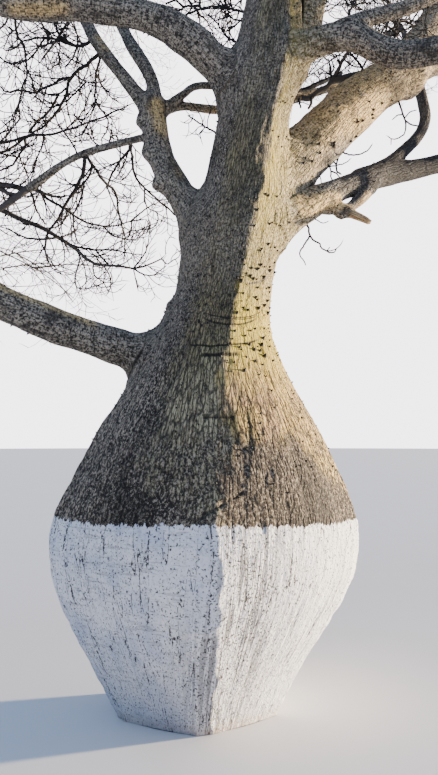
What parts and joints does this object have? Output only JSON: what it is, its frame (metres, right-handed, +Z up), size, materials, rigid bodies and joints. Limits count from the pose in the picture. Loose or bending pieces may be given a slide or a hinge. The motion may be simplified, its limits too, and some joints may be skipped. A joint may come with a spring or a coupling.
{
  "type": "silk floss tree",
  "caption": "Bare silk floss tree with a swollen bottle trunk, limewashed foot, spreading boughs and fine leafless twigs, fixed in level ground.",
  "frame": {"origin": "middle of the flat cut under the trunk, at ground level", "axes": "+Z up, +X to the right of the pictured front, the side the trunk leans to, +Y to the back"},
  "size_m": [12.0697, 9.7458, 10.1917],
  "materials": {
    "trunk_bark": "rough upright fissured bark with conical prickles, matt white limewash on the lowest 1.12 m",
    "bough_bark": "rough grey-brown bark mottled with pale lichen",
    "twig_bark": "dull dark grey-brown twig bark, no leaves"
  },
  "bodies": {
    "root": {"trunk": "trunk_bark", "low_left_bough": "bough_bark", "big_right_bough": "bough_bark", "upper_left_bough": "bough_bark", "upper_right_bough": "bough_bark", "rising_right_bough": "bough_bark", "mid_left_bough": "bough_bark", "low_right_bough": "bough_bark", "back_left_bough": "bough_bark", "back_bough": "bough_bark", "front_bough": "bough_bark", "front_leader": "bough_bark", "back_leader": "bough_bark", "front_left_bough": "bough_bark", "mid_left_outer_bough": "bough_bark", "mid_left_inner_bough": "bough_bark", "crossing_bough": "bough_bark", "crossing_upper_branch": "bough_bark", "drooping_bough": "bough_bark", "upper_right_branch": "bough_bark", "big_right_outer_bough": "bough_bark", "big_right_rising_bough": "bough_bark", "low_right_branch": "bough_bark", "broken_stub": "bough_bark", "low_left_twigs": "twig_bark", "upper_left_twigs": "twig_bark", "front_left_twigs": "twig_bark", "mid_left_outer_twigs": "twig_bark", "mid_left_inner_twigs": "twig_bark", "crossing_twigs": "twig_bark", "drooping_twigs": "twig_bark", "upper_right_twigs": "twig_bark", "upper_right_branch_twigs": "twig_bark", "rising_right_twigs": "twig_bark", "big_right_rising_twigs": "twig_bark", "big_right_outer_twigs": "twig_bark", "low_right_twigs": "twig_bark", "low_right_branch_twigs": "twig_bark", "front_leader_twigs": "twig_bark", "back_leader_twigs": "twig_bark", "back_left_twigs": "twig_bark", "back_twigs": "twig_bark", "front_twigs": "twig_bark"}
  },
  "joints": []
}
